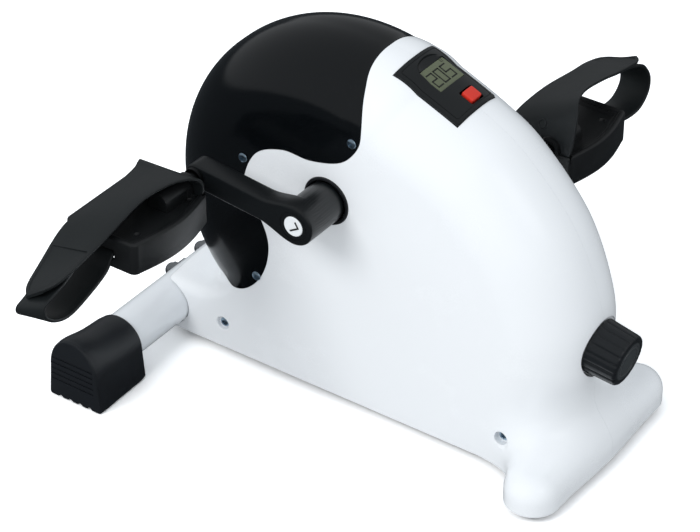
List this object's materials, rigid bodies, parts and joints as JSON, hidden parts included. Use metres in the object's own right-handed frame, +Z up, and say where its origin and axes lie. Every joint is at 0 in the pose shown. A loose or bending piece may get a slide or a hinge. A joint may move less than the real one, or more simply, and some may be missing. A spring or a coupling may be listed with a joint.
{
  "type": "pedal exerciser",
  "caption": "White and black mini pedal exerciser with cranks, strapped pedals, a tension knob, a small monitor and a rear stabiliser bar with rubber caps.",
  "frame": {"origin": "on the floor under the middle of the front foot", "axes": "+X towards the seated user, +Y to the user's right, +Z up"},
  "size_m": [0.4382, 0.5717, 0.315],
  "materials": {
    "shell_white": "moulded ABS, smooth white",
    "cover_black": "polished black ABS",
    "arm_black": "black powder coat",
    "black_plastic": "satin black",
    "pvc_black": "soft black PVC",
    "strap_rubber": "matt black",
    "tube_white": "white powder coat",
    "monitor_grey": "charcoal",
    "button_red": "red",
    "lcd_glass": "olive LCD window",
    "zinc": "bright zinc plate",
    "frame_black": "black paint",
    "steel": "ground steel",
    "iron": "machined rim",
    "magnet": "plated magnet"
  },
  "bodies": {
    "housing": {"brake_pivot_pin": "steel", "drive_belt": "strap_rubber", "flywheel_axle": "steel", "front_cover": "cover_black", "front_foot_pad": "pvc_black", "lcd_window": "lcd_glass", "left_bush_ring": "black_plastic", "left_cover_screw_1": "zinc", "left_cover_screw_2": "zinc", "left_cover_screw_3": "zinc", "left_crank_bearing": "steel", "left_dome_nut": "zinc", "left_end_cap": "pvc_black", "left_shell": "shell_white", "left_shell_screw_1": "zinc", "left_shell_screw_2": "zinc", "left_stabiliser_bolt": "zinc", "monitor_case": "monitor_grey", "return_spring": "steel", "right_bush_ring": "black_plastic", "right_cover_screw_1": "zinc", "right_cover_screw_2": "zinc", "right_cover_screw_3": "zinc", "right_crank_bearing": "steel", "right_dome_nut": "zinc", "right_end_cap": "pvc_black", "right_shell": "shell_white", "right_shell_screw_1": "zinc", "right_shell_screw_2": "zinc", "right_stabiliser_bolt": "zinc", "speed_sensor": "black_plastic", "spindle_bush": "monitor_grey", "stabiliser_tube": "tube_white", "welded_frame": "frame_black"},
    "crank": {"crank_spindle": "steel", "crank_pulley": "black_plastic", "left_crank_arm": "arm_black", "right_crank_arm": "arm_black", "left_crank_cap": "shell_white", "right_crank_cap": "shell_white", "left_pedal_axle": "steel", "right_pedal_axle": "steel", "sensor_magnet": "magnet"},
    "left_pedal_body": {"left_pedal": "pvc_black", "left_inner_strap": "strap_rubber", "left_outer_strap": "strap_rubber"},
    "right_pedal_body": {"right_pedal": "pvc_black", "right_inner_strap": "strap_rubber", "right_outer_strap": "strap_rubber"},
    "flywheel_body": {"flywheel": "iron", "flywheel_pulley": "black_plastic", "left_flywheel_bearing": "steel", "right_flywheel_bearing": "steel"},
    "knob_body": {"knob": "black_plastic", "knob_face": "monitor_grey", "tension_spindle": "steel"},
    "brake_body": {"magnet_arm": "steel", "brake_magnets": "magnet"},
    "button_body": {"red_button": "button_red"}
  },
  "joints": [
    {"name": "crank_spin", "type": "hinge", "parent": "housing", "child": "crank", "pos_m": [-0.2074, 0, 0.1957], "axis": [0, 1, 0], "continuous": true},
    {"name": "left_pedal_spin", "type": "hinge", "parent": "crank", "child": "left_pedal_body", "pos_m": [-0.30132, -0.13, 0.20615], "axis": [0, 1, 0], "continuous": true},
    {"name": "right_pedal_spin", "type": "hinge", "parent": "crank", "child": "right_pedal_body", "pos_m": [-0.11348, 0.13, 0.18525], "axis": [0, 1, 0], "continuous": true},
    {"name": "flywheel_spin", "type": "hinge", "parent": "housing", "child": "flywheel_body", "pos_m": [-0.1122, 0, 0.11], "axis": [0, 1, 0], "continuous": true},
    {"name": "knob_turn", "type": "hinge", "parent": "housing", "child": "knob_body", "pos_m": [0.0058, 0, 0.111], "axis": [0.9874, 0, -0.158], "range_deg": [0, 270]},
    {"name": "brake_swing", "type": "hinge", "parent": "housing", "child": "brake_body", "pos_m": [-0.0455, 0, 0.052], "axis": [0, 1, 0], "range_deg": [0, 6]},
    {"name": "button_press", "type": "slide", "parent": "housing", "child": "button_body", "axis": [-0.3941, 0, -0.9191], "range_m": [0, 0.0012], "stiffness_N_per_m": 300, "springref_m": -0.001}
  ],
  "couplings": [
    {"joint": "flywheel_spin", "follows": "crank_spin", "ratio": 6.0714},
    {"joint": "brake_swing", "follows": "knob_turn", "ratio": 0.022222}
  ]
}
